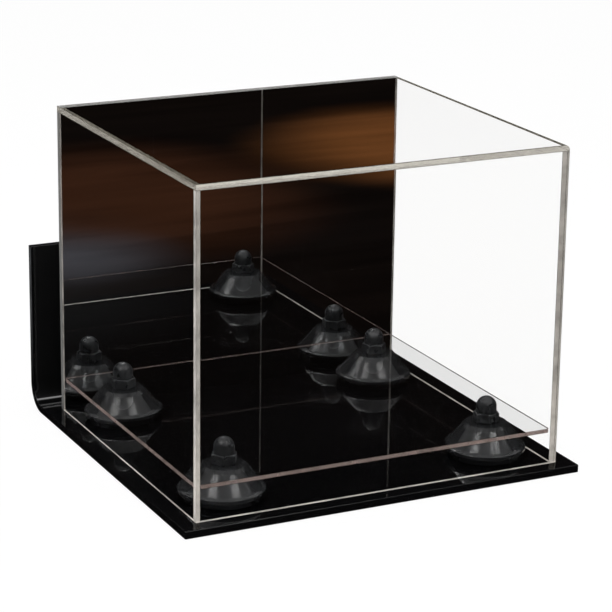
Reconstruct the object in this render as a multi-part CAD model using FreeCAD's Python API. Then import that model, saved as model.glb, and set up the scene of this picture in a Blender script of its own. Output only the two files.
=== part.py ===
import FreeCAD, Part
import math
import os

from FreeCAD import Vector

# A mirror-backed display case: a bonded acrylic cover that lifts off a black base, whose back edge
# is bent up into a wall flange, with a clear floor panel raised on four bell-shaped risers.
# Millimetres. The origin is under the middle of the cover, on the underside of the base,
# with +X to the right, +Y towards the wall and +Z up.

# Cover: five sheets bonded into a box that is open at the bottom
cover_width = 298.5
cover_depth = 266.7
cover_height = 247.7
wall_thickness = 4.5
mirror_thickness = 4.5
top_edge_radius = 3.8
bond_line = 0.05

# Base sheet and the wall flange bent up from its back edge
base_thickness = 5.9
base_front_margin = 11.8
base_side_margin = 13.5
base_back_margin = 12.7
base_corner_radius = 1.2
base_edge_radius = 0.5
bend_inner_radius = 15.0
flange_height = 129.0
wall_hole_diameter = 5.5
wall_hole_spacing = 203.2
wall_hole_drop = 25.4

# Raised floor panel
floor_thickness = 3.2
floor_clearance = 0.5
floor_corner_radius = 2.0

# Risers: hollow mouldings with a set-back foot, a rim and a bell-shaped body
riser_inset_x = 34.5
riser_inset_y = 36.0
riser_height = 23.8
riser_foot_diameter = 54.0
riser_foot_height = 4.6
riser_rim_diameter = 61.6
riser_rim_height = 3.4
riser_rim_edge_radius = 1.0
riser_ledge_width = 2.2
riser_ledge_rise = 0.9
riser_flare_radius = 5.0
riser_top_diameter = 32.0
riser_shoulder_width = 2.6
riser_shoulder_drop = 2.4
riser_shoulder_radius = 4.0
riser_wall = 2.6
riser_boss_diameter = 15.0

# Screws, one up through each riser
thread_diameter = 8.0
screw_head_diameter = 15.8
screw_head_rim = 0.3
screw_head_recess = 0.2
cross_slot_width = 1.7
cross_slot_length = 8.6
cross_slot_depth = 2.4
thread_engagement = 9.0

# Dome nuts
nut_across_flats = 17.6
nut_hex_height = 7.0
nut_hex_chamfer = 0.8
nut_dome_diameter = 15.6
nut_collar_height = 4.7
nut_bore_spare = 3.0
nut_turn_front_left = 0.0
nut_turn_front_right = 18.0
nut_turn_back_left = 27.0
nut_turn_back_right = 41.0

# Clearances
seat_gap = 0.1
screw_hole_clearance = 0.2
countersink_clearance = 0.1
thread_clearance = 0.05

# Levels, from the underside of the base upwards
base_top = base_thickness
cover_bottom = base_top + seat_gap
cover_top = cover_bottom + cover_height
riser_top = base_top + riser_height
floor_bottom = riser_top + seat_gap
floor_top = floor_bottom + floor_thickness
nut_bottom = floor_top + seat_gap
screw_tip = nut_bottom + thread_engagement
flange_top = base_top + flange_height

# Plan sizes that follow from the cover
half_width = cover_width / 2
half_depth = cover_depth / 2
inside_right = half_width - wall_thickness
inside_front = -half_depth + wall_thickness
inside_back = half_depth - mirror_thickness
base_half_width = half_width + base_side_margin
base_front = -half_depth - base_front_margin
flange_front = half_depth + base_back_margin + bend_inner_radius
flange_back = flange_front + base_thickness
floor_right = inside_right - floor_clearance
floor_front = inside_front + floor_clearance
floor_back = inside_back - floor_clearance
riser_x = floor_right - riser_inset_x
riser_front_y = floor_front + riser_inset_y
riser_back_y = floor_back - riser_inset_y
screw_hole_radius = thread_diameter / 2 + screw_hole_clearance

riser_places = {
    "front_left": Vector(-riser_x, riser_front_y, 0),
    "front_right": Vector(riser_x, riser_front_y, 0),
    "back_left": Vector(-riser_x, riser_back_y, 0),
    "back_right": Vector(riser_x, riser_back_y, 0),
}
# The angle in degrees at which each dome nut came tight
nut_turns = {
    "front_left": nut_turn_front_left,
    "front_right": nut_turn_front_right,
    "back_left": nut_turn_back_left,
    "back_right": nut_turn_back_right,
}


def box_between(low, high):
    """A box from its lowest to its highest corner."""
    size = high - low
    return Part.makeBox(size.x, size.y, size.z, low)


def rounded_face(corners, place):
    """A face inside a closed outline of (a, b, corner radius), with place turning (a, b) to 3-D."""
    edges = []
    starts = []
    ends = []
    for i, (a, b, radius) in enumerate(corners):
        corner = Vector(a, b, 0)
        before = corners[i - 1]
        after = corners[(i + 1) % len(corners)]
        back = (Vector(before[0], before[1], 0) - corner).normalize()
        ahead = (Vector(after[0], after[1], 0) - corner).normalize()
        if radius == 0:
            starts.append(corner)
            ends.append(corner)
            continue
        half_angle = back.getAngle(ahead) / 2
        reach = radius / math.tan(half_angle)
        inward = (back + ahead).normalize()
        middle = corner + inward * (radius / math.sin(half_angle) - radius)
        start = corner + back * reach
        end = corner + ahead * reach
        edges.append(Part.Arc(place(start), place(middle), place(end)).toShape())
        starts.append(start)
        ends.append(end)
    for i in range(len(corners)):
        edges.append(Part.LineSegment(place(ends[i - 1]), place(starts[i])).toShape())
    return Part.Face(Part.Wire(Part.__sortEdges__(edges)))


def revolved(corners):
    """A solid of revolution about Z from an outline of (radius, height, corner radius)."""
    profile = rounded_face(corners, lambda p: Vector(p.x, 0, p.y))
    return profile.revolve(Vector(0, 0, 0), Vector(0, 0, 1), 360)


def upright_edges(shape, y):
    """The vertical edges of a shape that stand at the given y."""
    tolerance = 0.001
    found = []
    for edge in shape.Edges:
        box = edge.BoundBox
        is_upright = box.XLength + box.YLength < tolerance
        if is_upright and abs(box.Center.y - y) < tolerance:
            found.append(edge)
    return found


# Base with its flange: the sheet's side outline pushed across the width
def make_base():
    outline = [
        (base_front, 0, 0),
        (flange_back, 0, bend_inner_radius + base_thickness),
        (flange_back, flange_top, 0),
        (flange_front, flange_top, 0),
        (flange_front, base_top, bend_inner_radius),
        (base_front, base_top, 0),
    ]
    side = rounded_face(outline, lambda p: Vector(-base_half_width, p.x, p.y))
    base = side.extrude(Vector(2 * base_half_width, 0, 0))
    base = base.makeFillet(base_corner_radius, upright_edges(base, base_front))
    base = base.makeFillet(base_edge_radius, base.Edges)

    # Countersunk screw holes under the risers
    sink_radius = screw_head_diameter / 2 + countersink_clearance
    sink_depth = sink_radius - screw_hole_radius
    sink_rim = screw_head_recess + screw_head_rim
    for place in riser_places.values():
        hole = Part.makeCylinder(screw_hole_radius, base_top, place)
        rim = Part.makeCylinder(sink_radius, sink_rim, place)
        sink = Part.makeCone(sink_radius, screw_hole_radius, sink_depth, place + Vector(0, 0, sink_rim))
        base = base.cut(hole).cut(rim).cut(sink)

    # Wall screw holes near the top of the flange
    for side_x in (-wall_hole_spacing / 2, wall_hole_spacing / 2):
        mouth = Vector(side_x, flange_front, flange_top - wall_hole_drop)
        base = base.cut(Part.makeCylinder(wall_hole_diameter / 2, base_thickness, mouth, Vector(0, 1, 0)))
    return base


# Cover panels: the front and the mirror run the full width, the sides stand between them,
# and the top lies over all four
def make_cover_panels():
    wall_top = cover_top - wall_thickness - bond_line
    side_front = inside_front + bond_line
    side_back = inside_back - bond_line
    panels = {
        "cover_front_panel": box_between(
            Vector(-half_width, -half_depth, cover_bottom),
            Vector(half_width, inside_front, wall_top),
        ),
        "cover_mirror_panel": box_between(
            Vector(-half_width, inside_back, cover_bottom),
            Vector(half_width, half_depth, wall_top),
        ),
        "cover_left_panel": box_between(
            Vector(-half_width, side_front, cover_bottom),
            Vector(-inside_right, side_back, wall_top),
        ),
        "cover_right_panel": box_between(
            Vector(inside_right, side_front, cover_bottom),
            Vector(half_width, side_back, wall_top),
        ),
    }
    top_outline = [
        (-half_width, cover_top - wall_thickness, 0),
        (half_width, cover_top - wall_thickness, 0),
        (half_width, cover_top, top_edge_radius),
        (-half_width, cover_top, 0),
    ]
    top_end = rounded_face(top_outline, lambda p: Vector(p.x, -half_depth, p.y))
    panels["cover_top_panel"] = top_end.extrude(Vector(0, cover_depth, 0))
    return panels


# Floor panel: a clear sheet with rounded corners and a hole over each riser
def make_floor():
    outline = [
        (-floor_right, floor_front, floor_corner_radius),
        (floor_right, floor_front, floor_corner_radius),
        (floor_right, floor_back, floor_corner_radius),
        (-floor_right, floor_back, floor_corner_radius),
    ]
    sheet = rounded_face(outline, lambda p: Vector(p.x, p.y, floor_bottom))
    floor = sheet.extrude(Vector(0, 0, floor_thickness))
    for place in riser_places.values():
        mouth = place + Vector(0, 0, floor_bottom)
        floor = floor.cut(Part.makeCylinder(screw_hole_radius, floor_thickness, mouth))
    return floor


# Riser: a bell with a hollow underside and a boss around its screw hole
def make_riser():
    foot_radius = riser_foot_diameter / 2
    rim_radius = riser_rim_diameter / 2
    top_radius = riser_top_diameter / 2
    boss_radius = riser_boss_diameter / 2
    rim_top = riser_foot_height + riser_rim_height
    shoulder_radius = top_radius + riser_shoulder_width
    outside = revolved([
        (screw_hole_radius, 0, 0),
        (foot_radius, 0, 0),
        (foot_radius, riser_foot_height, 0),
        (rim_radius, riser_foot_height, riser_rim_edge_radius),
        (rim_radius, rim_top, riser_rim_edge_radius),
        (rim_radius - riser_ledge_width, rim_top + riser_ledge_rise, riser_flare_radius),
        (shoulder_radius, riser_height - riser_shoulder_drop, riser_shoulder_radius),
        (top_radius, riser_height, 0),
        (screw_hole_radius, riser_height, 0),
    ])
    hollow = revolved([
        (boss_radius, 0, 0),
        (foot_radius - riser_wall, 0, 0),
        (foot_radius - riser_wall, rim_top, 0),
        (top_radius - riser_wall / 2, riser_height - riser_wall, 0),
        (boss_radius, riser_height - riser_wall, 0),
    ])
    return outside.cut(hollow)


# Screw: a countersunk head with a cross slot, and a plain shank for its thread
def make_screw():
    head_radius = screw_head_diameter / 2
    shank_radius = thread_diameter / 2
    rim_top = screw_head_recess + screw_head_rim
    screw = revolved([
        (0, screw_head_recess, 0),
        (head_radius, screw_head_recess, 0),
        (head_radius, rim_top, 0),
        (shank_radius, rim_top + head_radius - shank_radius, 0),
        (shank_radius, screw_tip, 0),
        (0, screw_tip, 0),
    ])
    for long_x, long_y in ((cross_slot_length, cross_slot_width), (cross_slot_width, cross_slot_length)):
        low = Vector(-long_x / 2, -long_y / 2, screw_head_recess)
        slot = box_between(low, Vector(long_x / 2, long_y / 2, screw_head_recess + cross_slot_depth))
        screw = screw.cut(slot)
    return screw


# Dome nut: a chamfered hexagon under a round collar and a half-sphere, bored from below
def make_dome_nut(turn):
    sides = 6
    corner_radius = nut_across_flats / 2 / math.cos(math.pi / sides)
    dome_radius = nut_dome_diameter / 2
    corners = []
    for step in range(sides + 1):
        angle = math.radians(360 / sides * step + turn)
        corners.append(Vector(corner_radius * math.cos(angle), corner_radius * math.sin(angle), 0))
    hexagon = Part.Face(Part.makePolygon(corners)).extrude(Vector(0, 0, nut_hex_height))
    chamfered = revolved([
        (0, 0, 0),
        (corner_radius, 0, 0),
        (corner_radius, nut_hex_height - nut_hex_chamfer, 0),
        (corner_radius - 2 * nut_hex_chamfer, nut_hex_height, 0),
        (0, nut_hex_height, 0),
    ])
    collar_top = nut_hex_height + nut_collar_height
    collar = Part.makeCylinder(dome_radius, collar_top)
    dome = Part.makeSphere(dome_radius, Vector(0, 0, collar_top), Vector(0, 0, 1), 0, 90, 360)
    bore_radius = thread_diameter / 2 + thread_clearance
    bore = Part.makeCylinder(bore_radius, thread_engagement + nut_bore_spare)
    nut = hexagon.common(chamfered).fuse(collar).fuse(dome).cut(bore)
    return nut.removeSplitter()


def save(shape, name):
    """Write one piece as its own file."""
    solid = shape if shape.ShapeType == "Solid" else shape.Solids[0]
    if not solid.isValid() or len(shape.Solids) != 1:
        raise ValueError(name + " is not one valid solid")
    solid.exportStep("parts/" + name + ".step")


os.makedirs("parts", exist_ok=True)
save(make_base(), "base_and_wall_flange")
save(make_floor(), "raised_floor_panel")
for name, panel in make_cover_panels().items():
    save(panel, name)
for corner, place in riser_places.items():
    save(make_riser().translated(place + Vector(0, 0, base_top)), "riser_" + corner)
    save(make_screw().translated(place), "riser_screw_" + corner)
    nut = make_dome_nut(nut_turns[corner])
    save(nut.translated(place + Vector(0, 0, nut_bottom)), "dome_nut_" + corner)
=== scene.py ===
import math

import bpy
from mathutils import Matrix, Vector


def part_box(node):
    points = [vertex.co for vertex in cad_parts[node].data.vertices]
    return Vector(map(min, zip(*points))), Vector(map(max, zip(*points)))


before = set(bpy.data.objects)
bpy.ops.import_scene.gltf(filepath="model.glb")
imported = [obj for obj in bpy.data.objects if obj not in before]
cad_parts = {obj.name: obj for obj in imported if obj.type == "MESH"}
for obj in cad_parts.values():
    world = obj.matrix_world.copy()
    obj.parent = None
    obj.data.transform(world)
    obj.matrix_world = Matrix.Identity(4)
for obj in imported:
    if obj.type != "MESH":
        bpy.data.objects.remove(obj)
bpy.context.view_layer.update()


# Base and wall flange: one sheet of black cast acrylic, heat-bent up at its back edge.
# The faces keep the gloss of the glass that the sheet was cast between, with slow ripples
# and a little wiped haze, and the eased edges catch the lamps as a thin line.
mm = 0.001
acrylic_ior = 1.49
ripple_length = 55 * mm
ripple_height = 0.06 * mm
ripple_strength = 0.25
haze_size = 38 * mm
clean_roughness = 0.01
hazed_roughness = 0.06


def linear(hex_colour):
    """An sRGB '#RRGGBB' colour as linear RGBA."""
    channels = []
    for i in (1, 3, 5):
        c = int(hex_colour[i:i + 2], 16) / 255
        channels.append(c / 12.92 if c <= 0.04045 else ((c + 0.055) / 1.055) ** 2.4)
    return (*channels, 1.0)


def add_node(tree, kind, settings=None, links=None):
    """Add a node, set its inputs or properties by name, and link its inputs to sockets."""
    node = tree.nodes.new(kind)
    for name, value in (settings or {}).items():
        if isinstance(name, int) or name in node.inputs:
            node.inputs[name].default_value = value
        else:
            setattr(node, name, value)
    for name, socket in (links or {}).items():
        tree.links.new(socket, node.inputs[name])
    return node


def new_material(name):
    """An empty material and its node tree."""
    material = bpy.data.materials.new(name)
    material.use_nodes = True
    material.node_tree.nodes.clear()
    return material, material.node_tree


def dress(node_names, material):
    """Give CAD nodes one material in place of the one they came with."""
    for name in node_names:
        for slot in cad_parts[name].material_slots:
            slot.link = "DATA"
            slot.material = material


black_acrylic, tree = new_material("black_cast_acrylic")
place = add_node(tree, "ShaderNodeTexCoord")
ripple = add_node(
    tree, "ShaderNodeTexNoise", {"Scale": 1 / ripple_length, "Detail": 1.0},
    {"Vector": place.outputs["Object"]},
)
ripple_bump = add_node(
    tree, "ShaderNodeBump", {"Strength": ripple_strength, "Distance": ripple_height},
    {"Height": ripple.outputs["Fac"]},
)
haze = add_node(
    tree, "ShaderNodeTexNoise", {"Scale": 1 / haze_size, "Detail": 6.0, "Roughness": 0.65},
    {"Vector": place.outputs["Object"]},
)
haze_rough = add_node(
    tree, "ShaderNodeMapRange",
    {"From Min": 0.4, "From Max": 0.75, "To Min": clean_roughness, "To Max": hazed_roughness},
    {"Value": haze.outputs["Fac"]},
)
black_shader = add_node(
    tree, "ShaderNodeBsdfPrincipled", {"Base Color": linear("#09090A"), "IOR": acrylic_ior},
    {"Roughness": haze_rough.outputs[0], "Normal": ripple_bump.outputs["Normal"]},
)
add_node(tree, "ShaderNodeOutputMaterial", None, {"Surface": black_shader.outputs[0]})
dress(["base_and_wall_flange"], black_acrylic)


# Risers: four bell-shaped mouldings in black ABS that lift the floor panel off the base.
# They are injection moulded in a polished tool that is a little worn, so they shine
# softly, with a faint grain and slow changes of tone where the plastic flowed.
corners = ["front_left", "front_right", "back_left", "back_right"]
moulding_ior = 1.53
# The real grain is finer, and is drawn this coarse to show
abs_grain = 0.7 * mm
abs_grain_height = 0.05 * mm
abs_flow = 14 * mm


def moulded_plastic(name, tones, roughness, grain, grain_height, grain_strength, patch, detail):
    """Plastic with a moulded grain, in patches between two tones and two roughnesses."""
    material, tree = new_material(name)
    place = add_node(tree, "ShaderNodeTexCoord")
    grains = add_node(
        tree, "ShaderNodeTexNoise", {"Scale": 1 / grain, "Detail": 2.0},
        {"Vector": place.outputs["Object"]},
    )
    grain_bump = add_node(
        tree, "ShaderNodeBump", {"Strength": grain_strength, "Distance": grain_height},
        {"Height": grains.outputs["Fac"]},
    )
    patches = add_node(
        tree, "ShaderNodeTexNoise", {"Scale": 1 / patch, "Detail": detail},
        {"Vector": place.outputs["Object"]},
    )
    patch_rough = add_node(
        tree, "ShaderNodeMapRange",
        {"From Min": 0.3, "From Max": 0.7, "To Min": roughness[0], "To Max": roughness[1]},
        {"Value": patches.outputs["Fac"]},
    )
    # A colour Mix node takes its factor at 0 and its colours at 6 and 7, and gives a colour at 2
    patch_colour = add_node(
        tree, "ShaderNodeMix",
        {"data_type": "RGBA", 6: linear(tones[0]), 7: linear(tones[1])},
        {0: patches.outputs["Fac"]},
    )
    shader = add_node(
        tree, "ShaderNodeBsdfPrincipled", {"IOR": moulding_ior},
        {
            "Base Color": patch_colour.outputs[2],
            "Roughness": patch_rough.outputs[0],
            "Normal": grain_bump.outputs["Normal"],
        },
    )
    add_node(tree, "ShaderNodeOutputMaterial", None, {"Surface": shader.outputs[0]})
    return material


black_abs = moulded_plastic(
    "black_moulded_abs", tones=("#212223", "#2C2D2F"), roughness=(0.1, 0.17),
    grain=abs_grain, grain_height=abs_grain_height, grain_strength=0.1,
    patch=abs_flow, detail=3.0,
)
dress(["riser_" + corner for corner in corners], black_abs)


# Riser screws: countersunk machine screws up through the base, one in each riser.
# They are zinc-plated steel, a little cloudy from the plating bath.
plating_cloud = 1.6 * mm

zinc, tree = new_material("zinc_plated_steel")
place = add_node(tree, "ShaderNodeTexCoord")
cloud = add_node(
    tree, "ShaderNodeTexNoise", {"Scale": 1 / plating_cloud, "Detail": 5.0},
    {"Vector": place.outputs["Object"]},
)
cloud_colour = add_node(
    tree, "ShaderNodeMix", {"data_type": "RGBA", 6: linear("#A9ADB2"), 7: linear("#CFD1CE")},
    {0: cloud.outputs["Fac"]},
)
cloud_rough = add_node(
    tree, "ShaderNodeMapRange",
    {"From Min": 0.3, "From Max": 0.7, "To Min": 0.2, "To Max": 0.38},
    {"Value": cloud.outputs["Fac"]},
)
zinc_shader = add_node(
    tree, "ShaderNodeBsdfPrincipled", {"Metallic": 1.0},
    {"Base Color": cloud_colour.outputs[2], "Roughness": cloud_rough.outputs[0]},
)
add_node(tree, "ShaderNodeOutputMaterial", None, {"Surface": zinc_shader.outputs[0]})
dress(["riser_screw_" + corner for corner in corners], zinc)


# Raised floor panel: a thin sheet of clear acrylic with a hole over each riser.
# Its polished faces bend light and add a shine, and light that gets in at a sawn edge is
# carried along between the faces, so the edges glow a little, with saw marks across them.
floor_shine = 1.0
# The floor sheet's pale edge tone is turned pink by a painted reflection of a warm room
floor_edge_tone_and_reflection = "#E6CCC5"
floor_edge_scatter = 0.3
sheet_tint = "#C6C1B2"
tint_density = 5.0
# A surface is an edge, not a face, where less than this of its normal is along the thin axis
edge_turn = 0.7
edge_roughness = 0.08
# Past the critical angle the mirrored share of the light is above this
critical_share = 0.98
# The real saw marks are finer, and are drawn this coarse to show
saw_mark = 1.0 * mm
saw_mark_depth = 0.15 * mm
saw_mark_strength = 0.15
saw_mark_stretch = (0.2, 0.2, 1.0)
buffing_length = 16 * mm
# The share of light that each kind of edge scatters
sawn_scatter = 0.6
mark_scatter = 0.2
border_painted_shade_scatter = 0.6
bonded_scatter = 0.6
# Each edge's borders carry a line of painted shade: this wide, in this dark tone, at the border
# share above
border_line = 0.25 * mm
border_painted_shade_tone = "#3A3731"
bonded_tone = "#57544B"
# Depth, from a sheet's lowest or highest point, that still counts as its bottom or top edge
edge_skin = 0.1 * mm


def clear_acrylic(name, sheet_name, thin_axis, shine, edge_tone_and_reflection, edge_scatter):
    """Clear acrylic for a sheet that is thin along 'X', 'Y' or 'Z'.

    A shine of 1 is bare acrylic's, and edge_scatter is the share of light that its buffed edges
    scatter in the edge tone; that tone can hold a painted reflection as well as the edges' own
    colour.
    """
    axis = "XYZ".index(thin_axis)
    low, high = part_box(sheet_name)
    half_thickness = (high[axis] - low[axis]) / 2
    middle = (high[axis] + low[axis]) / 2
    material, tree = new_material(name)
    place = add_node(tree, "ShaderNodeTexCoord")
    spot = add_node(tree, "ShaderNodeSeparateXYZ", None, {0: place.outputs["Object"]})
    facing = add_node(tree, "ShaderNodeSeparateXYZ", None, {0: place.outputs["Normal"]})
    square = add_node(
        tree, "ShaderNodeMath", {"operation": "ABSOLUTE"}, {0: facing.outputs[thin_axis]}
    )
    on_edge = add_node(
        tree, "ShaderNodeMath", {"operation": "LESS_THAN", 1: edge_turn}, {0: square.outputs[0]}
    )

    # How much is mirrored: a shine where light arrives, and all of it past the critical angle
    side = add_node(tree, "ShaderNodeNewGeometry")
    mirrored = add_node(tree, "ShaderNodeFresnel", {"IOR": acrylic_ior})
    outer = add_node(
        tree, "ShaderNodeMath", {"operation": "MULTIPLY_ADD", 1: -shine, 2: shine},
        {0: side.outputs["Backfacing"]},
    )
    outer_shine = add_node(
        tree, "ShaderNodeMath", {"operation": "MULTIPLY"},
        {0: outer.outputs[0], 1: mirrored.outputs[0]},
    )
    trapped = add_node(
        tree, "ShaderNodeMath", {"operation": "GREATER_THAN", 1: critical_share},
        {0: mirrored.outputs[0]},
    )
    mirror_share = add_node(
        tree, "ShaderNodeMath", {"operation": "MAXIMUM"},
        {0: outer_shine.outputs[0], 1: trapped.outputs[0]},
    )

    # Saw marks, on the edges only, drawn out across an upright edge
    drawn_out = add_node(
        tree, "ShaderNodeMapping", {"Scale": saw_mark_stretch},
        {"Vector": place.outputs["Object"]},
    )
    marks = add_node(
        tree, "ShaderNodeTexNoise", {"Scale": 1 / saw_mark, "Detail": 2.0},
        {"Vector": drawn_out.outputs[0]},
    )
    mark_strength = add_node(
        tree, "ShaderNodeMath", {"operation": "MULTIPLY", 1: saw_mark_strength},
        {0: on_edge.outputs[0]},
    )
    mark_bump = add_node(
        tree, "ShaderNodeBump", {"Distance": saw_mark_depth},
        {"Strength": mark_strength.outputs[0], "Height": marks.outputs["Fac"]},
    )
    rough = add_node(
        tree, "ShaderNodeMath", {"operation": "MULTIPLY", 1: edge_roughness},
        {0: on_edge.outputs[0]},
    )
    bent = add_node(
        tree, "ShaderNodeBsdfRefraction", {"Color": linear("#FFFFFF"), "IOR": acrylic_ior},
        {"Roughness": rough.outputs[0], "Normal": mark_bump.outputs["Normal"]},
    )
    gloss = add_node(
        tree, "ShaderNodeBsdfGlossy", {"Color": linear("#FFFFFF")},
        {"Roughness": rough.outputs[0], "Normal": mark_bump.outputs["Normal"]},
    )
    clear = add_node(
        tree, "ShaderNodeMixShader", None,
        {0: mirror_share.outputs[0], 1: bent.outputs[0], 2: gloss.outputs[0]},
    )

    # What the buffing left of a sawn edge scatters light, and the bottom edges weren't buffed
    underneath = add_node(
        tree, "ShaderNodeMath", {"operation": "LESS_THAN", 1: low.z + edge_skin},
        {0: spot.outputs["Z"]},
    )
    finish_share = add_node(
        tree, "ShaderNodeMapRange", {"To Min": edge_scatter, "To Max": sawn_scatter},
        {"Value": underneath.outputs[0]},
    )
    mark_share = add_node(
        tree, "ShaderNodeMapRange",
        {"From Min": 0.45, "From Max": 0.65, "To Min": 0.0, "To Max": mark_scatter},
        {"Value": marks.outputs["Fac"]},
    )

    # The eased borders of an edge are painted as dark lines: painted shade for the light that they
    # bend away
    across = add_node(
        tree, "ShaderNodeMath", {"operation": "SUBTRACT", 1: middle}, {0: spot.outputs[thin_axis]}
    )
    off_middle = add_node(
        tree, "ShaderNodeMath", {"operation": "ABSOLUTE"}, {0: across.outputs[0]}
    )
    at_border = add_node(
        tree, "ShaderNodeMath", {"operation": "GREATER_THAN", 1: half_thickness - border_line},
        {0: off_middle.outputs[0]},
    )
    border_painted_shade_share = add_node(
        tree, "ShaderNodeMath", {"operation": "MULTIPLY", 1: border_painted_shade_scatter},
        {0: at_border.outputs[0]},
    )

    # A top edge lies bonded under the top sheet, where the solvent turned it grey
    bonded = add_node(
        tree, "ShaderNodeMath", {"operation": "GREATER_THAN", 1: high.z - edge_skin},
        {0: spot.outputs["Z"]},
    )
    bonded_share = add_node(
        tree, "ShaderNodeMath", {"operation": "MULTIPLY", 1: bonded_scatter},
        {0: bonded.outputs[0]},
    )

    # The strongest of these shares counts, and the wheel buffed some stretches clearer than others
    edge_share = finish_share
    for share in (mark_share, border_painted_shade_share, bonded_share):
        edge_share = add_node(
            tree, "ShaderNodeMath", {"operation": "MAXIMUM"},
            {0: edge_share.outputs[0], 1: share.outputs[0]},
        )
    buffing = add_node(
        tree, "ShaderNodeTexNoise", {"Scale": 1 / buffing_length, "Detail": 2.0},
        {"Vector": place.outputs["Object"]},
    )
    uneven = add_node(
        tree, "ShaderNodeMapRange",
        {"From Min": 0.35, "From Max": 0.65, "To Min": 0.65, "To Max": 1.2},
        {"Value": buffing.outputs["Fac"]},
    )
    buffed_share = add_node(
        tree, "ShaderNodeMath", {"operation": "MULTIPLY"},
        {0: uneven.outputs[0], 1: edge_share.outputs[0]},
    )
    scatter = add_node(
        tree, "ShaderNodeMath", {"operation": "MULTIPLY"},
        {0: on_edge.outputs[0], 1: buffed_share.outputs[0]},
    )
    edge_colour = add_node(
        tree, "ShaderNodeMix",
        {"data_type": "RGBA", 6: linear(edge_tone_and_reflection), 7: linear(bonded_tone)},
        {0: bonded.outputs[0]},
    )
    # The borders take the dark tone of painted shade
    border_shaded_colour = add_node(
        tree, "ShaderNodeMix", {"data_type": "RGBA", 7: linear(border_painted_shade_tone)},
        {0: at_border.outputs[0], 6: edge_colour.outputs[2]},
    )
    sawn = add_node(tree, "ShaderNodeBsdfDiffuse", None, {"Color": border_shaded_colour.outputs[2]})
    sheet = add_node(
        tree, "ShaderNodeMixShader", None,
        {0: scatter.outputs[0], 1: clear.outputs[0], 2: sawn.outputs[0]},
    )

    # Lamps shine through the sheet, and the acrylic itself takes a little of the light
    path = add_node(tree, "ShaderNodeLightPath")
    through = add_node(tree, "ShaderNodeBsdfTransparent", {"Color": linear("#FCFCFC")})
    lit = add_node(
        tree, "ShaderNodeMixShader", None,
        {0: path.outputs["Is Shadow Ray"], 1: sheet.outputs[0], 2: through.outputs[0]},
    )
    tint = add_node(
        tree, "ShaderNodeVolumeAbsorption",
        {"Color": linear(sheet_tint), "Density": tint_density},
    )
    add_node(
        tree, "ShaderNodeOutputMaterial", None,
        {"Surface": lit.outputs[0], "Volume": tint.outputs[0]},
    )
    return material


floor_acrylic = clear_acrylic(
    "clear_acrylic_floor", "raised_floor_panel", "Z",
    floor_shine, floor_edge_tone_and_reflection, floor_edge_scatter,
)
dress(["raised_floor_panel"], floor_acrylic)


# Dome nuts: black nylon acorn nuts that hold the floor panel down on the risers.
# They are moulded, with a fine grain and a few scuffs from the spanner.
nylon_grain = 0.5 * mm
nylon_grain_height = 0.04 * mm
nylon_scuff = 5 * mm

nylon = moulded_plastic(
    "black_moulded_nylon", tones=("#1C1D1E", "#27282A"), roughness=(0.24, 0.38),
    grain=nylon_grain, grain_height=nylon_grain_height, grain_strength=0.08,
    patch=nylon_scuff, detail=4.0,
)
dress(["dome_nut_" + corner for corner in corners], nylon)


# Cover: four clear acrylic sheets solvent-bonded into a box with the mirror.
# Like most picture-grade sheet they are so clear that their faces hardly show,
# and the buffed edges draw the outline of the box.
cover_shine = 0.12
cover_edge_tone = "#FBF5EE"
# Each panel, the axis it is thin along and how much its edges scatter
cover_panels = [("left", "X", 0.5), ("right", "X", 0.5), ("front", "Y", 0.5), ("top", "Z", 0.12)]

for side, thin_axis, edge_scatter in cover_panels:
    panel = "cover_" + side + "_panel"
    panel_acrylic = clear_acrylic(
        "clear_acrylic_" + side, panel, thin_axis, cover_shine, cover_edge_tone, edge_scatter
    )
    dress([panel], panel_acrylic)


# Mirror: the back wall of the cover, an acrylic sheet metallised on its inner face.
# Being thin plastic it is never quite flat, and its back and edges carry the grey paint
# that guards the metal.
mirror_wave = 120 * mm
mirror_wave_height = 0.05 * mm
mirror_wave_strength = 0.3
paint_mottle = 6 * mm
paint_roughness = 0.55
silver_roughness = 0.0
# The metal is on the face that looks to the front, along -Y
silver_facing = -0.5

silver, tree = new_material("mirrored_acrylic")
place = add_node(tree, "ShaderNodeTexCoord")
facing = add_node(tree, "ShaderNodeSeparateXYZ", None, {0: place.outputs["Normal"]})
is_silver = add_node(
    tree, "ShaderNodeMath", {"operation": "LESS_THAN", 1: silver_facing}, {0: facing.outputs["Y"]}
)
mottle = add_node(
    tree, "ShaderNodeTexNoise", {"Scale": 1 / paint_mottle, "Detail": 3.0},
    {"Vector": place.outputs["Object"]},
)
paint = add_node(
    tree, "ShaderNodeMix", {"data_type": "RGBA", 6: linear("#6E6E6C"), 7: linear("#7F7E7B")},
    {0: mottle.outputs["Fac"]},
)
colour = add_node(
    tree, "ShaderNodeMix", {"data_type": "RGBA", 7: linear("#E6E8E9")},
    {0: is_silver.outputs[0], 6: paint.outputs[2]},
)
rough = add_node(
    tree, "ShaderNodeMapRange", {"To Min": paint_roughness, "To Max": silver_roughness},
    {"Value": is_silver.outputs[0]},
)
wave = add_node(
    tree, "ShaderNodeTexNoise", {"Scale": 1 / mirror_wave, "Detail": 0.0},
    {"Vector": place.outputs["Object"]},
)
wave_bump = add_node(
    tree, "ShaderNodeBump", {"Strength": mirror_wave_strength, "Distance": mirror_wave_height},
    {"Height": wave.outputs["Fac"]},
)
mirror_shader = add_node(
    tree, "ShaderNodeBsdfPrincipled", {"IOR": acrylic_ior},
    {
        "Base Color": colour.outputs[2],
        "Metallic": is_silver.outputs[0],
        "Roughness": rough.outputs[0],
        "Normal": wave_bump.outputs["Normal"],
    },
)
add_node(tree, "ShaderNodeOutputMaterial", None, {"Surface": mirror_shader.outputs[0]})
dress(["cover_mirror_panel"], silver)


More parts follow.
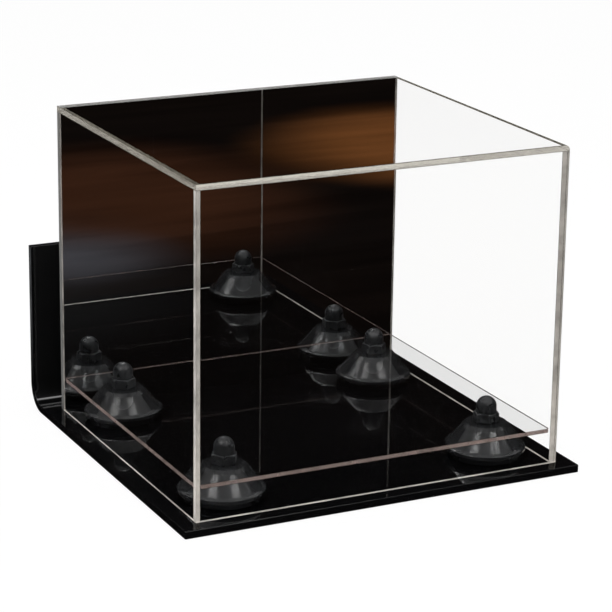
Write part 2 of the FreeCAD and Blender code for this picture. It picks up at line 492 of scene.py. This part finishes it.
# Studio floor: white paper, far wider than the view, laid just under the case.
# Most of what is seen of it is a plain white of its own, and the rest is lit by the lamps,
# which keeps the case's soft shadow.
floor_size = 40.0
floor_drop = 0.6 * mm
paper_white = 0.93
# The real fibres are finer, and are drawn this coarse to show
paper_fibre = 2 * mm
fibre_height = 0.02 * mm
fibre_strength = 0.02

bpy.ops.object.select_all(action="DESELECT")
bpy.ops.mesh.primitive_plane_add(size=floor_size, location=(0, 0, -floor_drop))
floor = bpy.context.object
floor.name = "studio_floor"
paper, tree = new_material("white_paper_floor")
place = add_node(tree, "ShaderNodeTexCoord")
fibre = add_node(
    tree, "ShaderNodeTexNoise", {"Scale": 1 / paper_fibre}, {"Vector": place.outputs["Object"]}
)
paper_bump = add_node(
    tree, "ShaderNodeBump", {"Strength": fibre_strength, "Distance": fibre_height},
    {"Height": fibre.outputs["Fac"]},
)
paper_shader = add_node(
    tree, "ShaderNodeBsdfDiffuse", {"Color": linear("#FAFAFA")}, {"Normal": paper_bump.outputs[0]}
)
path = add_node(tree, "ShaderNodeLightPath")
seen_or_mirrored = add_node(
    tree, "ShaderNodeMath", {"operation": "MAXIMUM"},
    {0: path.outputs["Is Camera Ray"], 1: path.outputs["Is Glossy Ray"]},
)
seen = add_node(
    tree, "ShaderNodeMath", {"operation": "MAXIMUM"},
    {0: seen_or_mirrored.outputs[0], 1: path.outputs["Is Transmission Ray"]},
)
white_share = add_node(
    tree, "ShaderNodeMath", {"operation": "MULTIPLY", 1: paper_white}, {0: seen.outputs[0]}
)
white = add_node(tree, "ShaderNodeEmission", {"Color": linear("#FFFFFF"), "Strength": 1.0})
paper_mix = add_node(
    tree, "ShaderNodeMixShader", None,
    {0: white_share.outputs[0], 1: paper_shader.outputs[0], 2: white.outputs[0]},
)
add_node(tree, "ShaderNodeOutputMaterial", None, {"Surface": paper_mix.outputs[0]})
floor.data.materials.append(paper)


# Dark surround: a studio curtain and floor cloth that glow by themselves, dark with a few lighter,
# warmer patches, as painted reflections of a room.
# Only what is mirrored shows them: the mirror, the base and the faces' shine.
curtain_radius = 2.3
curtain_height = 1.5
curtain_sides = 64
cloth_drop = 0.3 * mm
painted_fold_size = 0.35
painted_fold_reach = 0.12
streak_size = 0.06
streak_stretch = (0.15, 1.0, 1.0)
# Lighter patches, glowing as painted reflections: place on the cloth, radius and colour
glowing_reflection_patches = [
    ((0.57, -0.58, 0.0), 0.24, "#7A4B28"),
    ((0.12, -0.50, 0.0), 0.30, "#402619"),
    ((0.02, -0.30, 0.0), 0.14, "#4A494E"),
    ((-0.15, 0.55, 0.0), 0.35, "#9DA0A3"),
]
# A ray with more than this glossy depth has been mirrored
mirrored_depth = 0.5
# Light that has crossed one to three faces of the clear sheets has come along an edge
edge_crossings = 2.0
edge_crossings_reach = 1.5

dark, tree = new_material("glowing_reflection_cloth")
place = add_node(tree, "ShaderNodeTexCoord")
# The glow goes darker and lighter in broad folds: painted shade and light
painted_folds = add_node(
    tree, "ShaderNodeTexNoise", {"Scale": 1 / painted_fold_size, "Detail": 3.0},
    {"Vector": place.outputs["Object"]},
)
shade = add_node(
    tree, "ShaderNodeMix", {"data_type": "RGBA", 6: linear("#070606"), 7: linear("#17110E")},
    {0: painted_folds.outputs["Fac"]},
)
for patch_middle, radius, tone in glowing_reflection_patches:
    distance = add_node(
        tree, "ShaderNodeVectorMath", {"operation": "DISTANCE", 1: patch_middle},
        {0: place.outputs["Object"]},
    )
    uneven = add_node(
        tree, "ShaderNodeMath", {"operation": "MULTIPLY_ADD", 1: painted_fold_reach},
        {0: painted_folds.outputs["Fac"], 2: distance.outputs["Value"]},
    )
    patch = add_node(
        tree, "ShaderNodeMapRange",
        {
            "From Min": radius + painted_fold_reach / 2,
            "From Max": radius / 2,
            "interpolation_type": "SMOOTHSTEP",
        },
        {"Value": uneven.outputs[0]},
    )
    shade = add_node(
        tree, "ShaderNodeMix", {"data_type": "RGBA", 7: linear(tone)},
        {0: patch.outputs[0], 6: shade.outputs[2]},
    )
# Streaks drawn out across the cloth brighten and dim the glow, a painted grain in the reflections
drawn_out = add_node(
    tree, "ShaderNodeMapping", {"Scale": streak_stretch}, {"Vector": place.outputs["Object"]}
)
streaks = add_node(
    tree, "ShaderNodeTexNoise", {"Scale": 1 / streak_size, "Detail": 3.0, "Distortion": 0.6},
    {"Vector": drawn_out.outputs[0]},
)
level = add_node(
    tree, "ShaderNodeMapRange",
    {"From Min": 0.3, "From Max": 0.7, "To Min": 0.55, "To Max": 1.0},
    {"Value": streaks.outputs["Fac"]},
)
glow = add_node(
    tree, "ShaderNodeEmission", None,
    {"Color": shade.outputs[2], "Strength": level.outputs[0]},
)

# Only mirrored light sees the cloth, and what came along a sheet's edge keeps the white room
path = add_node(tree, "ShaderNodeLightPath")
mirrored = add_node(
    tree, "ShaderNodeMath", {"operation": "GREATER_THAN", 1: mirrored_depth},
    {0: path.outputs["Glossy Depth"]},
)
from_edge = add_node(
    tree, "ShaderNodeMath", {"operation": "COMPARE", 1: edge_crossings, 2: edge_crossings_reach},
    {0: path.outputs["Transmission Depth"]},
)
shown = add_node(
    tree, "ShaderNodeMath", {"operation": "SUBTRACT"},
    {0: mirrored.outputs[0], 1: from_edge.outputs[0]},
)
clear = add_node(tree, "ShaderNodeBsdfTransparent")
only_mirrored = add_node(
    tree, "ShaderNodeMixShader", None,
    {0: shown.outputs[0], 1: clear.outputs[0], 2: glow.outputs[0]},
)
add_node(tree, "ShaderNodeOutputMaterial", None, {"Surface": only_mirrored.outputs[0]})

bpy.ops.object.select_all(action="DESELECT")
bpy.ops.mesh.primitive_cylinder_add(
    vertices=curtain_sides, radius=curtain_radius, depth=curtain_height,
    end_fill_type="NOTHING", location=(0, 0, curtain_height / 2),
)
curtain = bpy.context.object
curtain.name = "dark_curtain"
bpy.ops.object.select_all(action="DESELECT")
bpy.ops.mesh.primitive_circle_add(
    vertices=curtain_sides, radius=curtain_radius, fill_type="NGON", location=(0, 0, -cloth_drop)
)
cloth = bpy.context.object
cloth.name = "dark_floor_cloth"
for piece in (curtain, cloth):
    piece.data.materials.append(dark)
    piece.visible_camera = False
    piece.visible_diffuse = False
    piece.visible_shadow = False


# Light: an even white room, a wide softbox overhead, and two smaller ones in front
# that put a pair of soft highlights on each riser.
room_light = 0.6
case_middle = (0, 0, 0.12)
overhead_place = (-0.1, 0.1, 2.2)
overhead_size = 1.4
overhead_power = 26
front_left_place = (-1.15, -0.45, 1.5)
front_right_place = (0.4, -1.15, 1.5)
front_size = 0.7
front_power = 4.5
# Light is carried far inside the clear sheets before it leaves by an edge
light_bounces = 32

world = bpy.data.worlds.new("studio_world")
bpy.context.scene.world = world
world.use_nodes = True
background = world.node_tree.nodes["Background"]
background.inputs["Color"].default_value = linear("#FFFFFF")
background.inputs["Strength"].default_value = room_light


def soft_lamp(name, place, size, power):
    """A square area lamp turned towards the middle of the case."""
    lamp = bpy.data.lights.new(name, "AREA")
    lamp.shape = "SQUARE"
    lamp.size = size
    lamp.energy = power
    holder = bpy.data.objects.new(name, lamp)
    bpy.context.scene.collection.objects.link(holder)
    holder.location = place
    aim = Vector(case_middle) - Vector(place)
    holder.rotation_euler = aim.to_track_quat("-Z", "Y").to_euler()
    return holder


overhead = soft_lamp("overhead_softbox", overhead_place, overhead_size, overhead_power)
soft_lamp("front_left_softbox", front_left_place, front_size, front_power)
soft_lamp("front_right_softbox", front_right_place, front_size, front_power)
# Light piped along the sheets would only sparkle with the overhead lamp in it
overhead.visible_transmission = False

cycles = bpy.context.scene.cycles
cycles.max_bounces = light_bounces
cycles.glossy_bounces = light_bounces
cycles.transmission_bounces = light_bounces
cycles.transparent_max_bounces = light_bounces

bpy.context.scene.view_settings.view_transform = "Standard"


# Camera: where the photograph was taken from, in the same frame as the case.
# It was fitted to the cover's corners. Its angles are in degrees, and its focal length is
# in pixels of the photograph.
photo_pixels = 612
focal_pixels = 2487.0
sensor_width = 36.0
camera_place = Vector((-0.81083, -1.63665, 0.67486))
camera_yaw = 26.4021
camera_pitch = 17.1510
camera_roll = 0.8144

camera_data = bpy.data.cameras.new("photo_camera")
camera_data.sensor_width = sensor_width
camera_data.lens = sensor_width * focal_pixels / photo_pixels
camera = bpy.data.objects.new("photo_camera", camera_data)
bpy.context.scene.collection.objects.link(camera)
camera.matrix_world = (
    Matrix.Translation(camera_place)
    @ Matrix.Rotation(math.radians(-camera_yaw), 4, "Z")
    @ Matrix.Rotation(math.radians(90 - camera_pitch), 4, "X")
    @ Matrix.Rotation(math.radians(camera_roll), 4, "Z")
)
bpy.context.scene.camera = camera
